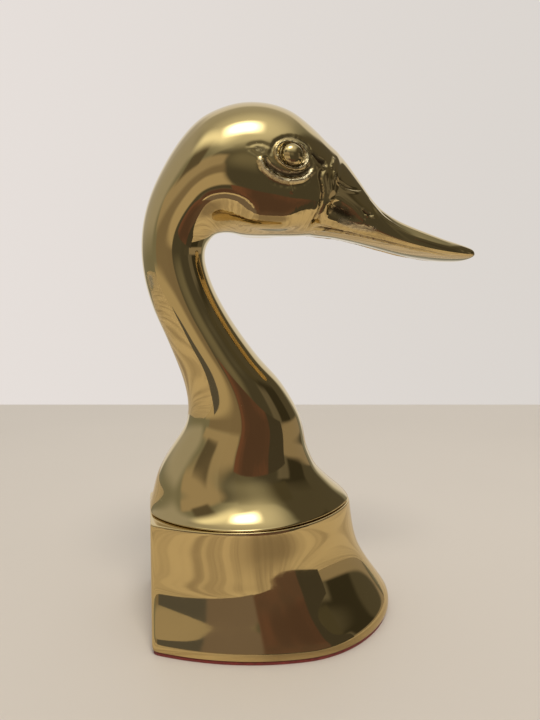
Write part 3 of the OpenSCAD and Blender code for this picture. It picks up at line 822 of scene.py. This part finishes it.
def makeRoom():
    world = bpy.data.worlds.new("pale room")
    world.use_nodes = True
    bpy.context.scene.world = world
    r = Recipe(world.node_tree)
    direction = r.make("ShaderNodeTexCoord", None, "Generated")
    mirrored = rgba(room["plain"])
    for name, azimuth, elevation, wide, high, soft, hue, dense in room["panels"]:
        mask = panelMask(r, direction, azimuth, elevation, wide, high, soft)
        mirrored = r.blend(mask * dense, mirrored, rgba(hue))
    camera, clear, glossy = [r.make("ShaderNodeLightPath", None, ray) for ray in
                             ("Is Camera Ray", "Is Transmission Ray", "Is Glossy Ray")]
    split = r.make("ShaderNodeSeparateXYZ", None, "X", Vector=direction)
    wall = r.blend(split.rise(*room["wallTurn"]), *[rgba(tone) for tone in room["wallTones"]])
    lit = r.blend(camera + clear, rgba(room["light"]), wall)
    lit = r.blend(glossy, lit, mirrored)
    r.end(r.make("ShaderNodeBackground", None, 0, Color=lit, Strength=1.0), "ShaderNodeOutputWorld")
    world.cycles.sampling_method = "NONE"
    print("room painted:", len(room["panels"]), "panels")


view = {"place": (-38.2 * mm, -209.9 * mm, 108.5 * mm), "azimuth": 11.9, "dip": 4.0, "lens": 28.5,
        "near": 10 * mm}


def makeCamera():
    lens = bpy.data.cameras.new("camera")
    lens.lens = view["lens"]
    lens.clip_start = view["near"]
    camera = bpy.data.objects.new("camera", lens)
    bpy.context.scene.collection.objects.link(camera)
    camera.location = view["place"]
    camera.rotation_mode = "QUATERNION"
    camera.rotation_quaternion = toward(view["azimuth"], -view["dip"]).to_track_quat("-Z", "Y")
    bpy.context.scene.camera = camera


# The floor is plain. Only the brass sees it streaked, with a painted shadow at one spot, and ending at two
# edges, each at a distance in the direction of an azimuth
floor = {"tone": (0.655, 0.585, 0.50), "clouds": (3.0, 3.0, 0.5), "cloudRise": (0.3, 0.7),
         "cloudShare": 0.25, "cloudDim": 0.88, "rough": 0.55, "far": 0.515, "near": 1.6, "half": 1.7,
         "mirrored": (0.70, 0.58, 0.42), "streakAndShadow": (0.30, 0.235, 0.17), "streaks": (60.0, 4.0, 0.6),
         "streakSizes": (1, 0.035, 1), "streakTurn": (0, 0, 0.25), "streakRise": (0.42, 0.68),
         "streakShare": 0.75,
         # where the painted shadow lies on the mirrored floor; the streak colour is also the shadow's colour
         "paintedShadowSpot": (0.03, -0.09, 0.0), "paintedShadowReach": (0.09, 0.03), "paintedShadowShare": 0.9,
         "edges": ((186, 0.215), (75, 0.4)), "edgeSoft": 3 * mm}


def makeFloor():
    bpy.ops.object.select_all(action="DESELECT")
    bpy.ops.mesh.primitive_plane_add(size=1, location=(0, 0, 0))
    ground = bpy.context.object
    ground.name = "floor"
    ahead, right = toward(view["azimuth"], 0), toward(view["azimuth"] + 90, 0)
    corners = ((-1, -floor["near"]), (1, -floor["near"]), (-1, floor["far"]), (1, floor["far"]))
    for vert, (side, depth) in zip(ground.data.vertices, corners):
        vert.co = right * side * floor["half"] + ahead * depth
    material, r = newMaterial("paleFloor")
    place = r.objectPlace()
    cloud = r.speckle(place, *floor["clouds"])
    tone = r.blend(cloud.rise(*floor["cloudRise"]) * floor["cloudShare"], rgba(floor["tone"]),
                   rgba(floor["tone"], floor["cloudDim"]))
    glossy = r.make("ShaderNodeLightPath", None, "Is Glossy Ray")
    streaks = r.speckle(r.stretched(place, floor["streakSizes"], floor["streakTurn"]), *floor["streaks"])
    mirrored = r.blend(streaks.rise(*floor["streakRise"]) * floor["streakShare"], rgba(floor["mirrored"]),
                       rgba(floor["streakAndShadow"]))
    # painted shadow: the mirrored floor darkens to the streak colour round one spot
    gap = r.vectorMaths("DISTANCE", place, floor["paintedShadowSpot"])
    mirrored = r.blend(gap.rise(*floor["paintedShadowReach"]) * floor["paintedShadowShare"], mirrored, rgba(floor["streakAndShadow"]))
    shader = r.make("ShaderNodeBsdfPrincipled", None, 0, Base_Color=r.blend(glossy, tone, mirrored),
                    Roughness=floor["rough"])
    soft = floor["edgeSoft"]
    first, second = [r.vectorMaths("DOT_PRODUCT", place, toward(azimuth, 0)).rise(edge - soft, edge + soft)
                     for azimuth, edge in floor["edges"]]
    hidden = glossy * r.maths("MAXIMUM", first, second)
    clear = r.make("ShaderNodeBsdfTransparent")
    r.end(r.make("ShaderNodeMixShader", None, 0, i0=hidden, i1=shader, i2=clear))
    ground.data.materials.append(material)


# Glowing cards close in front of the duck, a painted reflection that only its reflections show: sheets by
# left, right, bottom and top.
# They are reddish, browner below, dark past "darkFrom", and grey brown at the lower left, darker further out.
card = {"y": -132 * mm,
        "sheets": [(-17 * mm, 260 * mm, 7 * mm, 108 * mm), (-28 * mm, -17 * mm, 70 * mm, 108 * mm),
                   (-260 * mm, -17 * mm, 6 * mm, 52 * mm)],
        "tone": (0.21, 0.10, 0.072), "shade": (0.11, 0.066, 0.052), "clouds": (20.0, 3.0, 0.6),
        "cloudSizes": (1, 1, 0.5), "cloudTurn": (0, 0.4, 0), "cloudRise": (0.35, 0.65),
        "lowTone": (0.135, 0.09, 0.072), "low": (35 * mm, 70 * mm), "lowShare": 0.7,
        "dark": (0.07, 0.062, 0.05), "darkFrom": (91 * mm, 99 * mm),
        "leftTone": (0.22, 0.172, 0.15), "leftShade": (0.12, 0.113, 0.11),
        "leftShadeTo": (-103 * mm, -93 * mm), "leftTo": (-20 * mm, -14 * mm), "leftTop": (60 * mm, 68 * mm)}


def cardMaterial(name):
    c = card
    material, r = newMaterial(name)
    place = r.objectPlace()
    above = r.make("ShaderNodeSeparateXYZ", None, "Z", Vector=place)
    along = r.make("ShaderNodeSeparateXYZ", None, "X", Vector=place)
    cloud = r.speckle(r.stretched(place, c["cloudSizes"], c["cloudTurn"]), *c["clouds"])
    tone = r.blend(cloud.rise(*c["cloudRise"]), rgba(c["tone"]), rgba(c["shade"]))
    tone = r.blend((1 - above.rise(*c["low"])) * c["lowShare"], tone, rgba(c["lowTone"]))
    leftTone = r.blend(along.rise(*c["leftShadeTo"]), rgba(c["leftShade"]), rgba(c["leftTone"]))
    tone = r.blend((1 - along.rise(*c["leftTo"])) * (1 - above.rise(*c["leftTop"])), tone, leftTone)
    tone = r.blend(along.rise(*c["darkFrom"]), tone, rgba(c["dark"]))
    # the cards glow with this colour: a painted reflection, not a lamp
    r.end(r.make("ShaderNodeEmission", None, 0, Color=tone, Strength=1.0))
    return material


def makeCards():
    material = cardMaterial("paintedReflectionCard")
    for left, right, bottom, top in card["sheets"]:
        bpy.ops.object.select_all(action="DESELECT")
        bpy.ops.mesh.primitive_plane_add(size=1, location=(0, 0, 0))
        sheet = bpy.context.object
        sheet.name = "paintedReflectionCard"
        corners = ((left, bottom), (right, bottom), (left, top), (right, top))
        for vert, (x, z) in zip(sheet.data.vertices, corners):
            vert.co = (x, card["y"], z)
        sheet.data.materials.append(material)
        sheet.visible_camera = False
        sheet.visible_diffuse = False
        sheet.visible_shadow = False


softLamp = {"azimuth": 175, "elevation": 62, "distance": 2.2, "size": 0.9, "power": 22,
            "hue": (1.0, 0.96, 0.9)}


def makeLamp():
    ahead = toward(softLamp["azimuth"], softLamp["elevation"])
    bpy.ops.object.select_all(action="DESELECT")
    bpy.ops.object.light_add(type="AREA", location=ahead * softLamp["distance"])
    lamp = bpy.context.object
    lamp.data.shape = "DISK"
    lamp.data.size = softLamp["size"]
    lamp.data.energy = softLamp["power"]
    lamp.data.color = softLamp["hue"]
    lamp.rotation_mode = "QUATERNION"
    lamp.rotation_quaternion = (-ahead).to_track_quat("-Z", "Y")
    lamp.visible_camera = False
    lamp.visible_glossy = False


makeRoom()
makeFloor()
makeCards()
makeCamera()
makeLamp()
bpy.context.scene.view_settings.view_transform = "Standard"
print("floor, cards, camera and lamp set")
